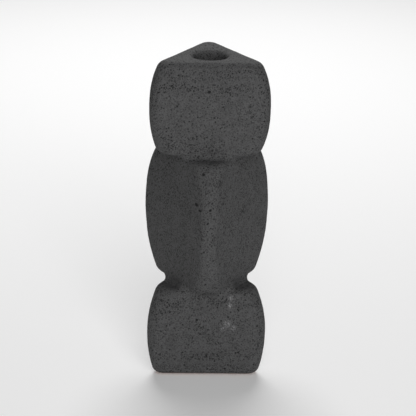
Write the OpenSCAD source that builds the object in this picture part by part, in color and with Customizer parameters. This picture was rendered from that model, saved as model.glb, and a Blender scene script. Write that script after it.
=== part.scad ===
// Stoneware totem vase: three hollow, pillowed three-sided blocks luted one on another,
// each turned half a turn from the one below. The turned middle block reads as the face of a tiki:
// its front corner is the nose, under the flat brow of the head block.
// Millimetres, +Z up, -Y is the front. The origin is on the stack's axis, at the level it stands on.

/* [Stack] */
// Height from the standing surface to the flat top
height = 300; // [290:1:310]
// Height of the joint between the base block and the face block
lower_joint_z = 86.5; // [83:0.5:91]
// Height of the joint between the face block and the head block
upper_joint_z = 213; // [209:0.5:218]
// Thickness of the fired clay walls and shelves
wall = 6; // [5:0.25:7]
// Thickness of the floor slab and of the top slab
slab = 6; // [5.5:0.25:8]
// Radius of every upright corner, half way up its block
corner_r = 9.6; // [8.5:0.1:12]
// How much an upright corner's radius grows towards a neck
neck_growth = 8.6; // [0:0.1:10]
// Height beside a neck over which the upright corners grow
neck_blend = 40; // [30:1:42]
// Radius of the rounded edges at the ends of each block
edge_r = 5; // [3:0.1:5.4]

/* [Base block] */
// Distance from the axis to a flat side, half way up
base_flat = 35.7; // [34:0.1:38]
// How far a flat side draws in at the bottom
base_draw_bottom = 3.9; // [3:0.1:6]
// How far a flat side draws in at the top
base_draw_top = 1.9; // [1:0.1:5]

/* [Face block] */
// Distance from the axis to a flat side, half way up
face_flat = 37.2; // [35:0.1:39]
// How far a flat side draws in at the bottom
face_draw_bottom = 3.6; // [2:0.1:6]
// How far a flat side draws in at the top
face_draw_top = 3.1; // [2:0.1:6]

/* [Head block] */
// Distance from the axis to a flat side, half way up
head_flat = 35.5; // [34:0.1:38]
// How far a flat side draws in at the bottom
head_draw_bottom = 1; // [0.5:0.1:5]
// How far a flat side draws in at the top
head_draw_top = 5.4; // [3:0.1:6]

/* [Mouth] */
// Radius of the throat
throat_r = 15; // [13:0.25:17]
// Radius of the soft roll from the flat top into the throat
mouth_roll = 5; // [3:0.25:6]
// Length of the mouth ring from the flat top down
mouth_len = 16; // [14:0.5:20]
// Thickness of the mouth ring beside the top slab
mouth_wall = 7; // [6.5:0.25:8]

/* [Neck rings] */
// Radius of the passage through each neck ring
passage_r = 15; // [13:0.25:16]
// Thickness of the flange luted between two blocks
flange = 2; // [1.5:0.25:3]
// How far the flange fills the groove outside the blocks' flat ends
groove_fill = 3; // [0:0.25:4]
// Height of the sleeve that lines up the two neck holes
sleeve_h = 18; // [16:1:24]
// Radius of the hole in each shelf
neck_hole_r = 20; // [19.5:0.25:21]

/* [Foot pads] */
// Radius of a felt pad
pad_r = 6; // [5:0.5:8]
// Thickness of a felt pad
pad = 1; // [0.5:0.25:3]
// Distance from the axis to the middle of a pad
pad_reach = 36; // [30:0.5:39]

/* [Hidden] */

CORNER_STEPS = 8;       // facets round an upright corner
SIDE_STEPS = 10;        // facets along a flat side
HOLE_STEP = 16;         // no facet of a hole turns through more degrees than this, seen from the axis
EDGE_STEPS = 3;         // facets round the edge at a block's end
WALL_STEPS = 12;        // facets up the outside of a wall
CAVITY_STEPS = 6;       // facets up the inside of a wall
BASE_POWER = 2.1;       // the higher the power, the later a block's sides draw in
FACE_POWER = 1.5;
HEAD_POWER = 2.6;
FLAT_FRONT = 90;        // corner at the back, flat side to the front
NOSE_FRONT = -90;       // corner at the front, flat side to the back
LUTING_GAP = 0.3;       // space left for slip round a ring in its seat
MOUTH_FLANGE = 4;       // width and thickness of the flange under the top slab
BORE_FN = 96;

base_z = pad;
floor_top = base_z + slab;
top_slab_z = height - slab;
base_top = lower_joint_z - flange / 2;
face_bottom = lower_joint_z + flange / 2;
face_top = upper_joint_z - flange / 2;
head_bottom = upper_joint_z + flange / 2;
sleeve_r = neck_hole_r * cos(HOLE_STEP / 2) - LUTING_GAP;
seat_r = (throat_r + mouth_wall + LUTING_GAP) / cos(HOLE_STEP / 2);

CLAY_COAT = [0.16, 0.16, 0.16];
BARE_CLAY = [0.52, 0.33, 0.23];
FELT = [0.36, 0.22, 0.14];

// A block is [bottom z, top z, flat side's distance half way up, draw-in at the bottom and at the top,
// power of the draw-in, direction of a corner, heights of its necks].
BASE = [base_z, base_top, base_flat, base_draw_bottom, base_draw_top, BASE_POWER, FLAT_FRONT,
    [base_top]];
FACE = [face_bottom, face_top, face_flat, face_draw_bottom, face_draw_top, FACE_POWER, NOSE_FRONT,
    [face_bottom, face_top]];
HEAD = [head_bottom, height, head_flat, head_draw_bottom, head_draw_top, HEAD_POWER, FLAT_FRONT,
    [head_bottom]];

// Radius of the block's upright corners at height z: it grows beside a neck, faster the nearer the neck.
function corner_at(block, z) =
    corner_r + neck_growth * max([for (neck = block[7]) pow(max(1 - abs(z - neck) / neck_blend, 0), 2)]);

// Distance from the axis to the sides of the triangle of corner centres at height z.
function inner_flat(block, z) =
    let (
        middle = (block[0] + block[1]) / 2,
        half = (block[1] - block[0]) / 2,
        draw = z < middle ? block[3] : block[4]
    )
    block[2] - draw * pow(abs(z - middle) / half, block[5]) - corner_at(block, z);

// Three corner arcs of radius round_r about the corners of the inner triangle, joined by straight sides.
function outline(inner, round_r, toward) = [
    for (corner = [0:2], step = [0:CORNER_STEPS + SIDE_STEPS - 1])
        let (
            here = toward + 120 * corner,
            turn = min(step / CORNER_STEPS, 1),
            along = max(step - CORNER_STEPS, 0) / SIDE_STEPS,
            normal = here - 60 + 120 * turn,
            start = 2 * inner * [cos(here), sin(here)],
            end = 2 * inner * [cos(here + 120), sin(here + 120)]
        )
        start + (end - start) * along + round_r * [cos(normal), sin(normal)]
];

// The block's outline at height z, moved inwards by inset.
function ring(block, z, inset = 0) = [
    for (p = outline(inner_flat(block, z), corner_at(block, z) - inset, block[6])) [p.x, p.y, z]
];

// A circle at height z whose points lie in the same directions as the outline's.
function round_ring(block, r, z) = [
    for (p = outline(block[2] - corner_r, corner_r, block[6]))
        let (a = atan2(p.y, p.x))
        [r * cos(a), r * sin(a), z]
];

// Rings up the rounded edge at a block's bottom, from its flat end to its side.
function bottom_edge(block) = [
    for (step = [0:EDGE_STEPS])
        let (a = 90 * step / EDGE_STEPS)
        ring(block, block[0] + edge_r * (1 - cos(a)), edge_r * (1 - sin(a)))
];

// Rings up the rounded edge at a block's top, from its side to its flat end.
function top_edge(block) = [
    for (step = [0:EDGE_STEPS])
        let (a = 90 * step / EDGE_STEPS)
        ring(block, block[1] - edge_r * (1 - sin(a)), edge_r * (1 - cos(a)))
];

// Rings up the outside of a wall, between two heights and without either end.
function side(block, from, to) = [
    for (step = [1:WALL_STEPS - 1]) ring(block, from + (to - from) * step / WALL_STEPS)
];

// Rings along the inside of a wall, both ends included.
function cavity(block, from, to) = [
    for (step = [0:CAVITY_STEPS]) ring(block, from + (to - from) * step / CAVITY_STEPS, wall)
];

// The two rings of a shelf's neck hole.
function neck_hole(block, from, to) = [
    round_ring(block, neck_hole_r, from),
    round_ring(block, neck_hole_r, to)
];

// A closed skin over rings that have the same number of points. Without caps, the last ring joins the
// first and a hole is left through the middle. With caps, a fan from the axis closes both end rings.
module skin(rings, caps = false) {
    count = len(rings);
    around = len(rings[0]);
    sides = [
        for (i = [0:caps ? count - 2 : count - 1], k = [0:around - 1])
            let (
                a = i * around + k,
                b = i * around + (k + 1) % around,
                c = ((i + 1) % count) * around + (k + 1) % around,
                d = ((i + 1) % count) * around + k
            )
            each [[a, d, c], [a, c, b]]
    ];
    middles = [[0, 0, rings[0][0].z], [0, 0, rings[count - 1][0].z]];
    first_middle = count * around;
    last_middle = first_middle + 1;
    fans = [
        for (k = [0:around - 1])
            let (next = (k + 1) % around, last = (count - 1) * around)
            each [[first_middle, k, next], [last_middle, last + next, last + k]]
    ];
    polyhedron(
        points = concat([for (r = rings) each r], caps ? middles : []),
        faces = caps ? concat(sides, fans) : sides,
        convexity = 6
    );
}

module base_block() {
    color(CLAY_COAT)
        skin(concat(
            [ring(BASE, floor_top)],
            side(BASE, floor_top, base_top - edge_r),
            top_edge(BASE),
            neck_hole(BASE, base_top, base_top - wall),
            cavity(BASE, base_top - wall, floor_top)
        ));
}

module face_block() {
    color(CLAY_COAT)
        skin(concat(
            bottom_edge(FACE),
            side(FACE, face_bottom + edge_r, face_top - edge_r),
            top_edge(FACE),
            neck_hole(FACE, face_top, face_top - wall),
            cavity(FACE, face_top - wall, face_bottom + wall),
            neck_hole(FACE, face_bottom + wall, face_bottom)
        ));
}

module head_block() {
    color(CLAY_COAT)
        skin(concat(
            bottom_edge(HEAD),
            side(HEAD, head_bottom + edge_r, top_slab_z),
            [ring(HEAD, top_slab_z)],
            cavity(HEAD, top_slab_z, head_bottom + wall),
            neck_hole(HEAD, head_bottom + wall, head_bottom)
        ));
}

// Slab under the base block's walls, with the block's rounded lower edge.
module floor_slab() {
    color(BARE_CLAY)
        skin(concat(bottom_edge(BASE), [ring(BASE, floor_top)]), caps = true);
}

// Slab on the head block's walls, with the block's rounded upper edge and a seat for the mouth ring.
module top_slab() {
    color(CLAY_COAT)
        skin(concat(
            [ring(HEAD, top_slab_z)],
            top_edge(HEAD),
            [round_ring(HEAD, seat_r, height), round_ring(HEAD, seat_r, top_slab_z)]
        ));
}

// Ring in the top slab's seat: the soft roll of the mouth, the throat, and a flange luted under the slab.
module mouth_ring() {
    color(CLAY_COAT)
        translate([0, 0, height])
            rotate_extrude($fn = BORE_FN)
                difference() {
                    union() {
                        translate([throat_r, -mouth_len]) square([mouth_wall, mouth_len]);
                        translate([throat_r, -slab - MOUTH_FLANGE])
                            square([mouth_wall + MOUTH_FLANGE, MOUTH_FLANGE]);
                    }
                    difference() {
                        translate([throat_r - 1, -mouth_roll]) square([mouth_roll + 1, mouth_roll + 1]);
                        translate([throat_r + mouth_roll, -mouth_roll]) circle(r = mouth_roll, $fn = BORE_FN);
                    }
                }
}

// Plan of a block's end, as exact shapes: straight sides and corner arcs of radius round_r.
module end_plan(inner, round_r, toward) {
    corners = [for (k = [0:2]) 2 * inner * [cos(toward + 120 * k), sin(toward + 120 * k)]];
    polygon([
        for (k = [0:2], side = [-60, 60])
            let (normal = toward + 120 * k + side)
            corners[k] + round_r * [cos(normal), sin(normal)]
    ]);
    for (c = corners) translate(c) circle(r = round_r, $fn = BORE_FN);
}

// Luting ring between two blocks: a flange where their ends cross, and a sleeve through both neck holes.
module neck_ring(joint_z, below, above) {
    below_round = corner_at(below, below[1]) - edge_r + groove_fill;
    above_round = corner_at(above, above[0]) - edge_r + groove_fill;
    translate([0, 0, joint_z])
        difference() {
            union() {
                translate([0, 0, -flange / 2])
                    linear_extrude(flange)
                        intersection() {
                            end_plan(inner_flat(below, below[1]), below_round, below[6]);
                            end_plan(inner_flat(above, above[0]), above_round, above[6]);
                        }
                translate([0, 0, -sleeve_h / 2]) cylinder(r = sleeve_r, h = sleeve_h, $fn = BORE_FN);
            }
            translate([0, 0, -sleeve_h]) cylinder(r = passage_r, h = 2 * sleeve_h, $fn = BORE_FN);
        }
}

module lower_neck_ring() {
    color(CLAY_COAT) neck_ring(lower_joint_z, BASE, FACE);
}

module upper_neck_ring() {
    color(CLAY_COAT) neck_ring(upper_joint_z, FACE, HEAD);
}

// Self-adhesive felt disc under one corner of the floor slab.
module foot_pad(direction) {
    color(FELT)
        rotate([0, 0, direction])
            translate([pad_reach, 0, 0])
                cylinder(r = pad_r, h = pad, $fn = BORE_FN);
}

base_block();
floor_slab();
lower_neck_ring();
face_block();
upper_neck_ring();
head_block();
top_slab();
mouth_ring();
foot_pad(FLAT_FRONT + 120);  // foot_pad_front_left
foot_pad(FLAT_FRONT + 240);  // foot_pad_front_right
foot_pad(FLAT_FRONT);  // foot_pad_rear
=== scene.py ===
import math

import bpy
import numpy as np
from mathutils import Matrix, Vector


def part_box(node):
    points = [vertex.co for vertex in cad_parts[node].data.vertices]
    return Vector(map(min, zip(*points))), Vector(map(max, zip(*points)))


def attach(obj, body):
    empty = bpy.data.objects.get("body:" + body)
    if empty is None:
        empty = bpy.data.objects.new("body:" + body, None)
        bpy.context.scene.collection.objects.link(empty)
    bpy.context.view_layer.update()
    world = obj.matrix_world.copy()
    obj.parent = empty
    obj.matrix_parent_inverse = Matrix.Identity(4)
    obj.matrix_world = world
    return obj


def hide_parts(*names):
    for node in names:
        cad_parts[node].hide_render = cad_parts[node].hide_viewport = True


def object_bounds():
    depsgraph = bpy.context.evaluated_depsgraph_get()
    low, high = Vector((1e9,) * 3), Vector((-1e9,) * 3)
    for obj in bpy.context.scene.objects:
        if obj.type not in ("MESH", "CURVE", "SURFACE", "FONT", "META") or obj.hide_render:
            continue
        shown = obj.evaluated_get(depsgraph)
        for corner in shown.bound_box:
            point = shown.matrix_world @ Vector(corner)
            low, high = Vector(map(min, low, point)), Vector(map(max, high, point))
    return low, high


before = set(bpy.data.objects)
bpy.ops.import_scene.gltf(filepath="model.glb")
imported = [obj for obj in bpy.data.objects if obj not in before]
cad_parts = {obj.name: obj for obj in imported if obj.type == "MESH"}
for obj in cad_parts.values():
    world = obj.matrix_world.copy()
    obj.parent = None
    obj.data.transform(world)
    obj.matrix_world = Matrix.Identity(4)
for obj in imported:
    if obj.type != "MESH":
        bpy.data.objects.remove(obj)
cad_box = [[float(x) for x in corner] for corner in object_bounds()]

# ---------------------------------------------------------------------------------------------------
# Base block
# The lowest of three hollow blocks of dark stoneware: a pillowed three-sided prism, cast, sponged round
# at its edges and pierced in its shelf for the ring that lutes the next block on. Flat side to the front.
# ---------------------------------------------------------------------------------------------------

THIRD_TURN = math.tau / 3
FLAT_FRONT = math.radians(90)
EDGE_ROUND = 0.005
WALL = 0.006
NECK_HOLE = 0.020
NECK_GROWTH = 0.0086
NECK_BLEND = 0.040

# A block's corner reaches 2 * (flat - corner) + corner from the axis, which gives the corner's radius.
base_low, base_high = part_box("base_block")
base = {
    "low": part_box("floor_slab")[0].z,
    "high": base_high.z,
    "flat": -base_low.y,
    "corner": -2 * base_low.y - base_high.y,
    "draw_low": 0.0039,
    "draw_high": 0.0019,
    "power": 2.1,
    "toward": FLAT_FRONT,
    "necks": [base_high.z],
}


def corner_at(block, z):
    """Radius of the block's upright corners at height z: it grows beside a neck by a square law, over the
    height of the blend."""
    nearness = [np.clip(1 - np.abs(z - neck) / NECK_BLEND, 0, 1) for neck in block["necks"]]
    return block["corner"] + NECK_GROWTH * np.max(nearness, axis=0) ** 2


def inner_flat(block, z):
    """Distance from the axis to the sides of the triangle of corner centres at height z: largest half way
    up, and drawn in towards both ends by a power of the distance from the middle."""
    middle = (block["low"] + block["high"]) / 2
    half = (block["high"] - block["low"]) / 2
    draw = np.where(z < middle, block["draw_low"], block["draw_high"])
    return block["flat"] - draw * (np.abs(z - middle) / half) ** block["power"] - corner_at(block, z)


def outline(block, u, z, inset):
    """Point of the block's outline at height z moved inwards by inset, for u from 0 to 1 once round it:
    three arcs about the corners of the inner triangle, joined by straight sides, shared out by length."""
    inner, rounding = inner_flat(block, z), corner_at(block, z) - inset
    arc = THIRD_TURN * block["corner"]
    share = arc / (arc + 2 * math.sqrt(3) * (block["flat"] - block["corner"]))
    third, part = np.divmod(u * 3, 1)
    turn = np.clip(part / share, 0, 1)
    along = np.clip((part - share) / (1 - share), 0, 1)
    here = block["toward"] + THIRD_TURN * third
    normal = here + THIRD_TURN * (turn - 0.5)
    x = 2 * inner * ((1 - along) * np.cos(here) + along * np.cos(here + THIRD_TURN))
    y = 2 * inner * ((1 - along) * np.sin(here) + along * np.sin(here + THIRD_TURN))
    return x + rounding * np.cos(normal), y + rounding * np.sin(normal)


def surface(block, around, rings):
    """Grid of points over the block's rings, each (height, inset, mix, hole radius, coat): mix 0 is the
    outline and mix 1 a circle in the same directions, and coat says how much of the coat's relief shows."""
    z, inset, mix, hole, _ = (column[:, None] for column in np.concatenate(rings).T)
    u = (np.arange(around) / around)[None, :]
    x, y = outline(block, u, z, inset)
    reach = np.hypot(x, y)
    scale = (1 - mix) + mix * hole / reach
    return np.stack([x * scale, y * scale, z + 0 * x], axis=-1)


def rows(count, z, inset=0, mix=0, hole=NECK_HOLE, coat=1):
    """count rings, each value either one number or a pair that is passed through evenly."""
    pairs = [value if isinstance(value, tuple) else (value, value) for value in (z, inset, mix, hole, coat)]
    return np.stack([np.linspace(*pair, count) for pair in pairs], axis=1)


def edge(block, count, end):
    """Rings round the block's rounded edge: up from the flat bottom, or up to the flat top."""
    turn = np.linspace(0, math.pi / 2, count)
    if end == "low":
        z = block["low"] + EDGE_ROUND * (1 - np.cos(turn))
        inset = EDGE_ROUND * (1 - np.sin(turn))
    else:
        z = block["high"] - EDGE_ROUND * (1 - np.sin(turn))
        inset = EDGE_ROUND * (1 - np.cos(turn))
    still = np.ones(count)
    return np.stack([z, inset, 0 * still, NECK_HOLE * still, still], axis=1)


def lattice(cells, salt):
    """A repeatable number from 0 to 1 for every cell of a lattice in space."""
    n = cells[..., 0] * 73856093 ^ cells[..., 1] * 19349663 ^ cells[..., 2] * 83492791 ^ salt * 26544357
    n = (n ^ (n >> 13)) * 1274126177
    return ((n ^ (n >> 16)) & 0xFFFFFF) / 0xFFFFFF


def waves(points, size, salt):
    """Smooth noise from -1 to 1 with hills about size across: lattice values blended between corners."""
    cell = np.floor(points / size).astype(np.int64)
    part = points / size - cell
    part = part * part * (3 - 2 * part)
    total = 0
    for corner in np.ndindex(2, 2, 2):
        weight = np.prod(np.where(corner, part, 1 - part), axis=-1)
        total = total + weight * lattice(cell + corner, salt)
    return 2 * total - 1


def pits(points, spacing, smallest, largest, share, salt):
    """Depth from 0 to 1 inside round pits: one in a share of the cells of a lattice, at a place and with a
    radius of the cell's own, deepest in the middle."""
    cell = np.floor(points / spacing).astype(np.int64)
    deepest = np.zeros(points.shape[:-1])
    for step in np.ndindex(3, 3, 3):
        near = cell + np.array(step) - 1
        place = np.stack([lattice(near, salt + k) for k in range(3)], axis=-1)
        radius = smallest + (largest - smallest) * lattice(near, salt + 3) ** 2
        distance = np.linalg.norm(points - (near + place) * spacing, axis=-1)
        here = np.where(lattice(near, salt + 4) < share, np.clip(1 - (distance / radius) ** 2, 0, 1), 0)
        deepest = np.maximum(deepest, here)
    return deepest


BURSTS = (
    (-0.0010, 0.2750, 0.0016),
    (-0.0055, 0.2040, 0.0014),
    (-0.0115, 0.1755, 0.0017),
    (0.0010, 0.1735, 0.0014),
    (-0.0085, 0.1715, 0.0013),
)


def bursts(points):
    """Depth from 0 to 1 inside the few largest burst bubbles on the front, each given by its x, its height
    and its radius: it falls off with the square of the distance from the middle."""
    x, y, z = np.moveaxis(points, -1, 0)
    depth = [1 - ((x - at) ** 2 + (z - height) ** 2) / radius ** 2 for at, height, radius in BURSTS]
    return np.where(y < 0, np.clip(np.max(depth, axis=0), 0, 1), 0)


def distance(block, points):
    """Distance from points to the block's surface: from the sharp inner triangle and the flat ends, less
    the roundings of the upright corners and of the end edges."""
    x, y, z = np.moveaxis(points, -1, 0)
    inner = inner_flat(block, z)
    deepest = np.full(x.shape, -np.inf)
    nearest = np.full(x.shape, np.inf)
    for k in range(3):
        out = block["toward"] + THIRD_TURN * (k + 0.5)
        beyond = x * np.cos(out) + y * np.sin(out) - inner
        along = y * np.cos(out) - x * np.sin(out)
        past = along - np.clip(along, -math.sqrt(3) * inner, math.sqrt(3) * inner)
        deepest = np.maximum(deepest, beyond)
        nearest = np.minimum(nearest, np.hypot(beyond, past))
    side = np.where(deepest < 0, deepest, nearest) - (corner_at(block, z) - EDGE_ROUND)
    middle, half = (block["low"] + block["high"]) / 2, (block["high"] - block["low"]) / 2
    end = np.abs(z - middle) - (half - EDGE_ROUND)
    outside = np.hypot(np.maximum(side, 0), np.maximum(end, 0))
    return outside + np.minimum(np.maximum(side, end), 0) - EDGE_ROUND


def slope(block, points):
    """Direction straight away from the block's surface, from small differences of the distance."""
    shift = 1e-6 * np.eye(3)
    out = np.stack([distance(block, points + d) - distance(block, points - d) for d in shift], axis=-1)
    return out / np.maximum(np.linalg.norm(out, axis=-1, keepdims=True), 1e-12)


# The relief's waves, each its height and the size of its hills: the first two are the maker's hand, and
# the others the grain of the coat. The whole relief is sunk a little, so that its hills keep to size.
RELIEF_WAVES = ((0.00022, 0.034), (0.00010, 0.013), (0.00006, 0.0031), (0.00004, 0.0014))
PIT_DEPTH = 0.00075
SINK = 0.00010


def coated(points, out, coat):
    """Points moved along their outward directions by the relief of the hand and the coat, and how deep each
    lies in a pit. The pits are burst bubbles: small ones in clusters, and large ones far apart."""
    clusters = 0.5 + 0.5 * waves(points, 0.021, 5)
    small = pits(points, spacing=0.0036, smallest=0.0006, largest=0.0012, share=0.42, salt=11)
    large = pits(points, spacing=0.0110, smallest=0.0009, largest=0.0015, share=0.30, salt=17)
    hole = np.maximum(small * (0.45 + 0.55 * clusters), np.maximum(large, bursts(points)))
    swell = sum(tall * waves(points, size, salt) for salt, (tall, size) in enumerate(RELIEF_WAVES, 1))
    relief = swell - SINK - PIT_DEPTH * hole
    return points + out * (relief * coat)[..., None], hole * coat


def build(name, points, pit, sharp=()):
    """Mesh of a grid that closes on itself both ways, with the depth of its pits as an attribute. The rings
    named sharp are where a hidden face meets a visible one."""
    count, around = points.shape[:2]
    index = np.arange(count * around).reshape(count, around)
    right = np.roll(index, -1, axis=1)
    quads = np.stack([index, right, np.roll(right, -1, axis=0), np.roll(index, -1, axis=0)], axis=-1)
    mesh = bpy.data.meshes.new(name)
    mesh.from_pydata(points.reshape(-1, 3), [], quads.reshape(-1, 4).tolist())
    mesh.attributes.new("pit", "FLOAT", "POINT").data.foreach_set("value", pit.ravel().astype(np.float32))
    mesh.shade_smooth()
    ends = np.empty(2 * len(mesh.edges), dtype=np.int32)
    mesh.edges.foreach_get("vertices", ends)
    ring = (ends // around).reshape(-1, 2)
    creased = (ring[:, 0] == ring[:, 1]) & np.isin(ring[:, 0], [k % count for k in sharp])
    mesh.attributes.new("sharp_edge", "BOOLEAN", "EDGE").data.foreach_set("value", creased)
    piece = bpy.data.objects.new(name, mesh)
    bpy.context.collection.objects.link(piece)
    return piece


def link(tree, *pairs):
    for source, target in pairs:
        tree.links.new(source, target)


# Greys of the coat, as how much light each returns.
CLOUD_GREYS = (0.056, 0.078)
GROG_GREY = 0.125
# Painted shade: the near black of the coat inside the pits and specks, where shade falls.
PIT_SHADE_GREY = 0.010
BLOOM_GREY = 0.26


def clay_coat():
    """Matte near-black volcanic coat: grey mottled in slow clouds, sandy with pale grog, and peppered with
    specks in two sizes, dented by the bump and painted dark as the shade inside them. It is painted near
    black inside the modelled pits as their shade, and pale where it has bloomed."""
    material = bpy.data.materials.new("clay_coat")
    material.use_nodes = True
    tree = material.node_tree
    tree.nodes.clear()
    new = tree.nodes.new
    out = new("ShaderNodeOutputMaterial")
    shader = new("ShaderNodeBsdfPrincipled")
    shader.inputs["Specular IOR Level"].default_value = 0.25
    place = new("ShaderNodeTexCoord")
    link(tree, (shader.outputs[0], out.inputs[0]))

    def noise(scale, detail):
        node = new("ShaderNodeTexNoise")
        node.inputs["Scale"].default_value = scale
        node.inputs["Detail"].default_value = detail
        link(tree, (place.outputs["Object"], node.inputs["Vector"]))
        return node.outputs["Fac"]

    def limits(value, low, high, to_low, to_high):
        node = new("ShaderNodeMapRange")
        ends = {"From Min": low, "From Max": high, "To Min": to_low, "To Max": to_high}
        for name, number in ends.items():
            node.inputs[name].default_value = number
        link(tree, (value, node.inputs["Value"]))
        return node.outputs[0]

    def math_node(kind, a, b):
        node = new("ShaderNodeMath")
        node.operation = kind
        for socket, value in zip(node.inputs, (a, b)):
            if isinstance(value, (int, float)):
                socket.default_value = value
            else:
                link(tree, (value, socket))
        return node.outputs[0]

    def dots(scale, size):
        """Round dots, each of its own darkness, in the cells of a Voronoi pattern. size is a dot's width
        over its cell's."""
        node = new("ShaderNodeTexVoronoi")
        node.inputs["Scale"].default_value = scale
        link(tree, (place.outputs["Object"], node.inputs["Vector"]))
        shade = limits(node.outputs["Color"], 0.30, 0.62, 0.15, 1)
        disc = limits(node.outputs["Distance"], 0.35 * size, 0.65 * size, 1, 0)
        return math_node("MULTIPLY", disc, shade)

    def blend(factor, a, b):
        """Colour between a and b, each either a grey level or another colour's socket."""
        node = new("ShaderNodeMix")
        node.data_type = "RGBA"
        link(tree, (factor, node.inputs["Factor"]))
        for name, value in (("A", a), ("B", b)):
            if isinstance(value, float):
                node.inputs[name].default_value = (value, value, value * 1.01, 1)
            else:
                link(tree, (value, node.inputs[name]))
        return node.outputs["Result"]

    # Painted shade: the depth of each modelled pit darkens the coat there, standing in for the shade inside
    # it.
    depth = new("ShaderNodeAttribute")
    depth.attribute_name = "pit"
    pit = limits(depth.outputs["Fac"], 0.06, 0.40, 0, 1)
    crowding = limits(noise(75, 2), 0.35, 0.65, 0.65, 1)
    # Specks in two sizes: dents in the bump below, painted dark as the shade inside them.
    specks = math_node("MULTIPLY", dots(440, 0.66), crowding)
    fine_specks = math_node("MULTIPLY", dots(760, 0.74), crowding)
    peppering = math_node("MAXIMUM", specks, fine_specks)
    pit_shade = math_node("MAXIMUM", pit, peppering)
    spot = new("ShaderNodeAttribute")
    spot.attribute_name = "bloom"
    crystals = math_node("MULTIPLY", spot.outputs["Fac"], limits(noise(850, 2), 0.46, 0.62, 0.1, 1))
    grog = limits(noise(1000, 4), 0.32, 0.70, 0, 1)

    cloud = blend(limits(noise(110, 5), 0.3, 0.7, 0, 1), *CLOUD_GREYS)
    sandy = blend(math_node("MULTIPLY", grog, 0.75), cloud, GROG_GREY)
    # Painted shade in the pits and specks: near black over the clouds and grog.
    dark = blend(math_node("MULTIPLY", pit_shade, 0.92), sandy, PIT_SHADE_GREY)
    colour = blend(crystals, dark, BLOOM_GREY)
    link(tree, (colour, shader.inputs["Base Color"]))
    link(tree, (limits(noise(900, 3), 0.3, 0.7, 0.80, 0.96), shader.inputs["Roughness"]))

    grain = math_node("SUBTRACT", math_node("MULTIPLY", noise(1500, 4), 0.35), peppering)
    bump = new("ShaderNodeBump")
    bump.inputs["Strength"].default_value = 0.6
    bump.inputs["Distance"].default_value = 0.0004
    link(tree, (grain, bump.inputs["Height"]), (bump.outputs[0], shader.inputs["Normal"]))
    return material


coat_finish = clay_coat()


def finish_piece(piece, material, node):
    """Gives the piece its material, hides the CAD part of the node it stands for, and has it ride on the
    one body.
    """
    piece.data.materials.append(material)
    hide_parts(node)
    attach(piece, "root")


def make_clay(name, block, stretches, creases, node, around=540):
    """A piece of a block, from stretches of rings, coated where they say so. It is creased at the last ring
    of each stretch counted in creases, where 0 stands for the very first ring."""
    points = surface(block, around, stretches)
    points, pit = coated(points, slope(block, points), np.concatenate(stretches)[:, 4][:, None])
    sharp = [max(sum(len(stretch) for stretch in stretches[:count]) - 1, 0) for count in creases]
    piece = build(name, points, pit, sharp)
    finish_piece(piece, coat_finish, node)
    return piece


BLOOMS = (
    (0.0222, 0.0790, 0.0022),
    (0.0210, 0.0715, 0.0026),
    (0.0190, 0.0540, 0.0032),
    (0.0250, 0.0500, 0.0022),
    (0.0150, 0.0490, 0.0018),
)


def bloom(points):
    """How thickly salts have bloomed through the coat: soft spots on the front, each given by its x, its
    height and its size, which the coat's material breaks up into crystals."""
    x, y, z = np.moveaxis(points, -1, 0)
    spots = [np.exp(-((x - at) ** 2 + (z - height) ** 2) / size ** 2) for at, height, size in BLOOMS]
    return np.where(y < 0, np.max(spots, axis=0), 0)


floor_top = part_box("floor_slab")[1].z
base_piece = make_clay("base_block_body", base, [
    rows(110, (floor_top, base["high"] - EDGE_ROUND)),
    edge(base, 12, "high")[1:],
    rows(24, base["high"], EDGE_ROUND, (0, 1), NECK_HOLE, (1, 0))[1:],
    rows(2, (base["high"] - WALL / 2, base["high"] - WALL), WALL, 1, NECK_HOLE, 0),
    rows(6, (base["high"] - WALL, floor_top), WALL, 0, NECK_HOLE, 0),
], (0,), "base_block")
base_points = np.empty(3 * len(base_piece.data.vertices))
base_piece.data.vertices.foreach_get("co", base_points)
pale = bloom(base_points.reshape(-1, 3)).astype(np.float32)
base_piece.data.attributes.new("bloom", "FLOAT", "POINT").data.foreach_set("value", pale)

# ---------------------------------------------------------------------------------------------------
# Floor slab
# A slab of the bare red-brown clay luted under the base block's walls, with the block's lower edge
# sponged round on it. The coat was wiped back from the underside, so that it wouldn't stick in the kiln.
# ---------------------------------------------------------------------------------------------------


def bare_clay():
    """Red-brown fired clay, sandy and unglazed."""
    material = bpy.data.materials.new("bare_clay")
    material.use_nodes = True
    tree = material.node_tree
    shader = tree.nodes["Principled BSDF"]
    shader.inputs["Roughness"].default_value = 0.92
    place = tree.nodes.new("ShaderNodeTexCoord")
    sand = tree.nodes.new("ShaderNodeTexNoise")
    sand.inputs["Scale"].default_value = 700
    sand.inputs["Detail"].default_value = 5
    ramp = tree.nodes.new("ShaderNodeValToRGB")
    ramp.color_ramp.elements[0].position = 0.32
    ramp.color_ramp.elements[0].color = (0.16, 0.075, 0.045, 1)
    ramp.color_ramp.elements[1].position = 0.68
    ramp.color_ramp.elements[1].color = (0.33, 0.17, 0.105, 1)
    bump = tree.nodes.new("ShaderNodeBump")
    bump.inputs["Strength"].default_value = 0.4
    bump.inputs["Distance"].default_value = 0.0003
    link(
        tree,
        (place.outputs["Object"], sand.inputs["Vector"]),
        (sand.outputs["Fac"], ramp.inputs["Fac"]),
        (ramp.outputs["Color"], shader.inputs["Base Color"]),
        (sand.outputs["Fac"], bump.inputs["Height"]),
        (bump.outputs["Normal"], shader.inputs["Normal"]),
    )
    return material


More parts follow.
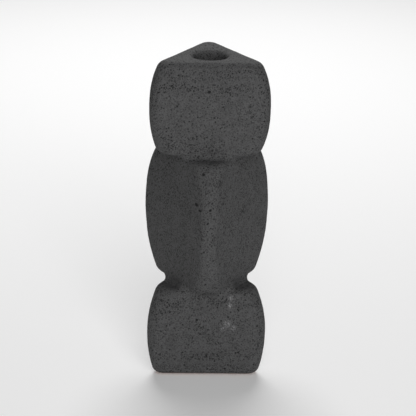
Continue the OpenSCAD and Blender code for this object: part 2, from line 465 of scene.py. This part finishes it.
clay_finish = bare_clay()
PIN = 0.0004
WIPED = -0.80
floor_piece = make_clay("floor_slab_body", base, [
    rows(20, base["low"], EDGE_ROUND, (1, 0), PIN, (0, 1)),
    edge(base, 12, "low")[1:],
    rows(4, (base["low"] + EDGE_ROUND, floor_top))[1:],
    rows(6, floor_top, 0, (0, 1), PIN, 0)[1:],
], (3,), "floor_slab")
floor_piece.data.materials.append(clay_finish)
normals = np.empty(3 * len(floor_piece.data.polygons), dtype=np.float32)
floor_piece.data.polygons.foreach_get("normal", normals)
bare = (normals[2::3] < WIPED).astype(np.int32)
floor_piece.data.polygons.foreach_set("material_index", bare)

# ---------------------------------------------------------------------------------------------------
# Lower neck ring
# A ring of soft clay pressed between the base and the block above it, with a sleeve through both neck
# holes. Outside, a coil of slip is smoothed with a round tool into a fillet all the way round the groove.
# ---------------------------------------------------------------------------------------------------

NOSE_FRONT = math.radians(-90)
face_low, face_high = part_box("face_block")
face = {
    "low": face_low.z,
    "high": face_high.z,
    "flat": face_high.y,
    "corner": 2 * face_high.y + face_low.y,
    "draw_low": 0.0036,
    "draw_high": 0.0031,
    "power": 1.5,
    "toward": NOSE_FRONT,
    "necks": [face_low.z, face_high.z],
}


SLEEVE = NECK_HOLE - 0.0008
BORE = 0.015


def rolling_ball(below, above, radius, joint, angle):
    """Centres of a ball that touches both blocks, one in each upright plane through the axis: the reach and
    height are found by Newton's steps on the two distances, each step no longer than a stride."""
    reach, height = np.full(angle.shape, 0.045), np.full(angle.shape, joint)
    step, stride, least_turn = 1e-6, 0.004, 0.05

    def miss(r, z):
        p = np.stack([r * np.cos(angle), r * np.sin(angle), z], axis=-1)
        return distance(below, p) - radius, distance(above, p) - radius

    for _ in range(60):
        a, b = miss(reach, height)
        a_r, b_r = ((m - n) / step for m, n in zip(miss(reach + step, height), (a, b)))
        a_z, b_z = ((m - n) / step for m, n in zip(miss(reach, height + step), (a, b)))
        turn = a_r * b_z - a_z * b_r
        turn = np.where(np.abs(turn) < least_turn, least_turn * np.where(turn < 0, -1, 1), turn)
        reach = np.clip(reach - np.clip((a * b_z - b * a_z) / turn, -stride, stride), NECK_HOLE, 0.075)
        height = height - np.clip((b * a_r - a * b_r) / turn, -stride, stride)
    return np.stack([reach * np.cos(angle), reach * np.sin(angle), height], axis=-1)


def neck_ring(name, below, above, radius, swell, node, around=540, steps=26):
    """Closed ring: the bore, the sleeve, and a fillet that is the inside of the rolling ball, swept from
    where the ball touches the lower block to where it touches the upper one. The ball swells by a cosine,
    six times round: it is largest where the outlines of the two blocks cross."""
    low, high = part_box(node)
    joint = (low.z + high.z) / 2
    angle = math.tau * np.arange(around) / around
    ball = radius + swell * np.cos(6 * angle)
    centre = rolling_ball(below, above, ball, joint, angle)
    down, up = slope(below, centre), slope(above, centre)
    between = np.arccos(np.clip((down * up).sum(-1, keepdims=True), -1, 1))
    part = np.linspace(0, 1, steps)[:, None, None]
    turned = (np.sin((1 - part) * between) * down + np.sin(part * between) * up) / np.sin(between)
    fillet = centre - ball[:, None] * turned

    def hoop(r, z):
        return np.stack([r * np.cos(angle), r * np.sin(angle), z + 0 * angle], axis=-1)[None]

    under = [hoop(BORE, low.z), hoop(SLEEVE, low.z), hoop(SLEEVE, below["high"])]
    over = [hoop(SLEEVE, above["low"]), hoop(SLEEVE, high.z), hoop(BORE, high.z)]
    points = np.concatenate([*under, fillet, *over])
    first, last = len(under), len(under) + steps - 1
    coat = np.zeros(len(points))
    coat[first:last + 1] = 1
    out = np.zeros(points.shape)
    out[first:last + 1] = turned
    points, pit = coated(points, out, coat[:, None])
    piece = build(name, points, pit, (first, last))
    finish_piece(piece, coat_finish, node)


neck_ring("lower_neck_fillet", base, face, radius=0.0058, swell=0.0018, node="lower_neck_ring")

# ---------------------------------------------------------------------------------------------------
# Face block
# The middle block, taller and turned half a turn, so that one upright corner points forward. That corner
# is the nose, its two flat sides are the cheeks, and its lower front point is the chin.
# ---------------------------------------------------------------------------------------------------

make_clay("face_block_body", face, [
    rows(22, face["low"], EDGE_ROUND, (1, 0), NECK_HOLE, (0, 1)),
    edge(face, 11, "low")[1:],
    rows(132, (face["low"] + EDGE_ROUND, face["high"] - EDGE_ROUND))[1:],
    edge(face, 11, "high")[1:],
    rows(22, face["high"], EDGE_ROUND, (0, 1), NECK_HOLE, (1, 0))[1:],
    rows(2, (face["high"] - WALL / 2, face["high"] - WALL), WALL, 1, NECK_HOLE, 0),
    rows(7, (face["high"] - WALL, face["low"] + WALL), WALL, 0, NECK_HOLE, 0),
    rows(2, (face["low"] + WALL, face["low"] + WALL / 2), WALL, 1, NECK_HOLE, 0),
], (), "face_block", around=480)

# ---------------------------------------------------------------------------------------------------
# Upper neck ring
# The same luted ring between the face and the head. Its fillet makes the shadowed hollows under the brow.
# ---------------------------------------------------------------------------------------------------

head_low, head_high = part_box("head_block")
head = {
    "low": head_low.z,
    "high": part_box("top_slab")[1].z,
    "flat": -head_low.y,
    "corner": -2 * head_low.y - head_high.y,
    "draw_low": 0.0010,
    "draw_high": 0.0054,
    "power": 2.6,
    "toward": FLAT_FRONT,
    "necks": [head_low.z],
}
neck_ring("upper_neck_fillet", face, head, radius=0.0045, swell=0, node="upper_neck_ring")

# ---------------------------------------------------------------------------------------------------
# Head block
# The top block, flat side to the front again. Its straight lower edge is the brow over the nose. It is
# left open at the top for the slab with the mouth.
# ---------------------------------------------------------------------------------------------------

head_top = head_high.z
make_clay("head_block_body", head, [
    rows(24, head["low"], EDGE_ROUND, (1, 0), NECK_HOLE, (0, 1)),
    edge(head, 12, "low")[1:],
    rows(112, (head["low"] + EDGE_ROUND, head_top))[1:],
    rows(6, (head_top, head["low"] + WALL), WALL, 0, NECK_HOLE, 0),
    rows(2, (head["low"] + WALL, head["low"] + WALL / 2), WALL, 1, NECK_HOLE, 0),
], (3,), "head_block")

# ---------------------------------------------------------------------------------------------------
# Top slab
# A three-sided slab luted on the head's walls and sponged round at its edge, cut out for the mouth ring.
# ---------------------------------------------------------------------------------------------------

SEAT = 0.022
make_clay("top_slab_body", head, [
    rows(3, (head_top, head["high"] - EDGE_ROUND)),
    edge(head, 14, "high")[1:],
    rows(70, head["high"], EDGE_ROUND, (0, 1), SEAT, 1)[1:],
    rows(3, (head["high"], head_top), 0, 1, SEAT, (1, 0))[1:],
    rows(3, head_top, 0, (1, 0), SEAT, 0)[1:-1],
], (0, 3), "top_slab")

# ---------------------------------------------------------------------------------------------------
# Mouth ring
# A thrown ring set in the slab's seat. Its top is rolled softly into a straight round throat, and a
# flange under the slab holds it. Dust and coat gather in the roll, so it is as pitted as the rest.
# ---------------------------------------------------------------------------------------------------

THROAT = 0.015
ROLL = 0.005
MOUTH_FLANGE = 0.004
SEAT_EDGE = 0.001


def mouth_ring(around=360):
    """Profile of the ring turned about the axis: flat top, quarter-round roll, throat, foot, flange and
    seat. Each stretch gives the reach, the height, the slant of the outward direction, and the coat."""
    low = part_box("mouth_ring")[0]
    top = head["high"]
    turn = np.linspace(0, math.pi / 2, 18)[1:]
    upward, inward = math.pi / 2, math.pi
    flange_low = head_top - MOUTH_FLANGE
    stretches = [
        (np.linspace(SEAT, THROAT + ROLL, 6), top, upward, 1),
        (THROAT + ROLL * (1 - np.sin(turn)), top - ROLL * (1 - np.cos(turn)), upward + turn, 1),
        (THROAT, np.linspace(top - ROLL, low.z, 25)[1:], inward, 1),
        (SEAT, np.array([low.z, flange_low]), inward, 0),
        (-low.y, np.array([flange_low, head_top]), inward, 0),
        (SEAT, np.array([head_top, top - SEAT_EDGE]), inward, 0),
    ]
    profile = np.concatenate([np.stack(np.broadcast_arrays(*stretch)) for stretch in stretches], axis=1)
    r, z, slant, coat = profile[:, :, None]
    angle = math.tau * np.arange(around) / around
    points = np.stack([r * np.cos(angle), r * np.sin(angle), z + 0 * angle], axis=-1)
    out = np.stack([
        np.cos(slant) * np.cos(angle), np.cos(slant) * np.sin(angle), np.sin(slant) + 0 * angle,
    ], axis=-1)
    points, pit = coated(points, out, coat)
    return build("mouth_ring_roll", points, pit, (0,))


finish_piece(mouth_ring(), coat_finish, "mouth_ring")

# ---------------------------------------------------------------------------------------------------
# Felt pads
# Three self-adhesive discs of dense brown felt under the corners of the floor slab, cut with a punch,
# so that their rims are square and a little furry.
# ---------------------------------------------------------------------------------------------------


def felt():
    """Matted brown wool: short fibres as stretched noise, with a sheen from the nap."""
    material = bpy.data.materials.new("felt")
    material.use_nodes = True
    tree = material.node_tree
    shader = tree.nodes["Principled BSDF"]
    shader.inputs["Roughness"].default_value = 1.0
    shader.inputs["Sheen Weight"].default_value = 0.3
    place = tree.nodes.new("ShaderNodeTexCoord")
    fibres = tree.nodes.new("ShaderNodeTexNoise")
    fibres.inputs["Scale"].default_value = 1600
    fibres.inputs["Detail"].default_value = 6
    fibres.inputs["Distortion"].default_value = 1.5
    ramp = tree.nodes.new("ShaderNodeValToRGB")
    ramp.color_ramp.elements[0].position = 0.3
    ramp.color_ramp.elements[0].color = (0.085, 0.036, 0.020, 1)
    ramp.color_ramp.elements[1].position = 0.7
    ramp.color_ramp.elements[1].color = (0.21, 0.095, 0.055, 1)
    bump = tree.nodes.new("ShaderNodeBump")
    bump.inputs["Strength"].default_value = 0.8
    bump.inputs["Distance"].default_value = 0.0003
    link(
        tree,
        (place.outputs["Object"], fibres.inputs["Vector"]),
        (fibres.outputs["Fac"], ramp.inputs["Fac"]),
        (ramp.outputs["Color"], shader.inputs["Base Color"]),
        (fibres.outputs["Fac"], bump.inputs["Height"]),
        (bump.outputs["Normal"], shader.inputs["Normal"]),
    )
    return material


felt_finish = felt()


def felt_pad(node, around=160):
    """Disc with slightly softened rims: the profile from the middle of its underside, up its side and back
    along its top, turned about the pad's own middle, with the side a little uneven."""
    low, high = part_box(node)
    middle = (low + high) / 2
    radius, soft = (high.x - low.x) / 2, 0.0003
    turn = np.linspace(0, math.pi / 2, 5)
    r = np.concatenate([
        np.linspace(PIN, radius - soft, 12)[:-1], radius - soft * (1 - np.sin(turn)),
        radius - soft * (1 - np.cos(turn)), np.linspace(radius - soft, PIN, 12)[1:],
    ])
    z = np.concatenate([
        np.full(11, low.z), low.z + soft * (1 - np.cos(turn)),
        high.z - soft * (1 - np.sin(turn)), np.full(11, high.z),
    ])
    angle = math.tau * np.arange(around) / around
    rim = (r > radius - 2 * soft)[:, None]
    r, z, angle = np.broadcast_arrays(r[:, None], z[:, None], angle)
    fuzz = waves(np.stack([r + middle.x, angle, z], axis=-1), 0.0006, 31)
    reach = r - 0.00008 * (1 + fuzz) * rim
    points = np.stack([middle.x + reach * np.cos(angle), middle.y + reach * np.sin(angle), z], axis=-1)
    return build(f"{node}_felt", points, 0 * reach)


for pad_node in ("foot_pad_front_left", "foot_pad_front_right", "foot_pad_rear"):
    finish_piece(felt_pad(pad_node), felt_finish, pad_node)

# ---------------------------------------------------------------------------------------------------
# Floor, light and camera
# A pale sheet on a dim light table, with a soft light behind the viewer, one above and one high behind.
# ---------------------------------------------------------------------------------------------------

floor_mesh = bpy.data.meshes.new("studio_floor")
floor_mesh.from_pydata([(-6, -6, 0), (6, -6, 0), (6, 6, 0), (-6, 6, 0)], [], [(0, 1, 2, 3)])
studio_floor = bpy.data.objects.new("studio_floor", floor_mesh)
bpy.context.collection.objects.link(studio_floor)
paper = bpy.data.materials.new("pale_paper")
paper.use_nodes = True
sheet = paper.node_tree.nodes["Principled BSDF"]
sheet.inputs["Base Color"].default_value = (0.90, 0.90, 0.90, 1)
sheet.inputs["Roughness"].default_value = 0.9
sheet.inputs["Emission Color"].default_value = (1, 1, 1, 1)
sheet.inputs["Emission Strength"].default_value = 0.12
floor_mesh.materials.append(paper)

world = bpy.data.worlds.new("studio")
world.use_nodes = True
world.node_tree.nodes["Background"].inputs["Color"].default_value = (1, 1, 1, 1)
world.node_tree.nodes["Background"].inputs["Strength"].default_value = 0.05
bpy.context.scene.world = world

middle_height = (cad_box[0][2] + cad_box[1][2]) / 2


def softbox(name, place, size, power):
    """A square area light at a place, turned to face the middle of the vase."""
    light = bpy.data.lights.new(name, "AREA")
    light.size = size
    light.energy = power
    lamp = bpy.data.objects.new(name, light)
    direction = np.array((0, 0, middle_height)) - np.array(place)
    lamp.location = place
    flat = math.hypot(direction[0], direction[1])
    lamp.rotation_euler = (math.atan2(flat, -direction[2]), 0, math.atan2(-direction[0], direction[1]))
    bpy.context.collection.objects.link(lamp)


softbox("front", (0.25, -1.85, 0.75), size=0.9, power=13.5)
softbox("above", (0.2, -1.3, 1.5), size=1.0, power=7)
softbox("behind", (0, 1.3, 1.5), size=1.2, power=27)

LENS_MM = 187.82
SENSOR_MM = 36
DISTANCE = 2.0
ELEVATION = math.radians(18.96)
AROUND = math.radians(-1.54)
LEAN = math.radians(0.995)
camera_data = bpy.data.cameras.new("camera")
camera_data.sensor_width = SENSOR_MM
camera_data.lens = LENS_MM
camera_data.shift_x = 0.00149
camera_data.shift_y = 0.01079
camera_data.clip_end = 50
camera = bpy.data.objects.new("camera", camera_data)
flat_distance = DISTANCE * math.cos(ELEVATION)
camera.location = (
    flat_distance * math.sin(AROUND),
    -flat_distance * math.cos(AROUND),
    middle_height + DISTANCE * math.sin(ELEVATION),
)
aim = Matrix.Rotation(AROUND, 3, "Z") @ Matrix.Rotation(math.pi / 2 - ELEVATION, 3, "X")
camera.rotation_euler = (aim @ Matrix.Rotation(LEAN, 3, "Z")).to_euler()
bpy.context.collection.objects.link(camera)
bpy.context.scene.camera = camera
bpy.context.scene.view_settings.view_transform = "Standard"
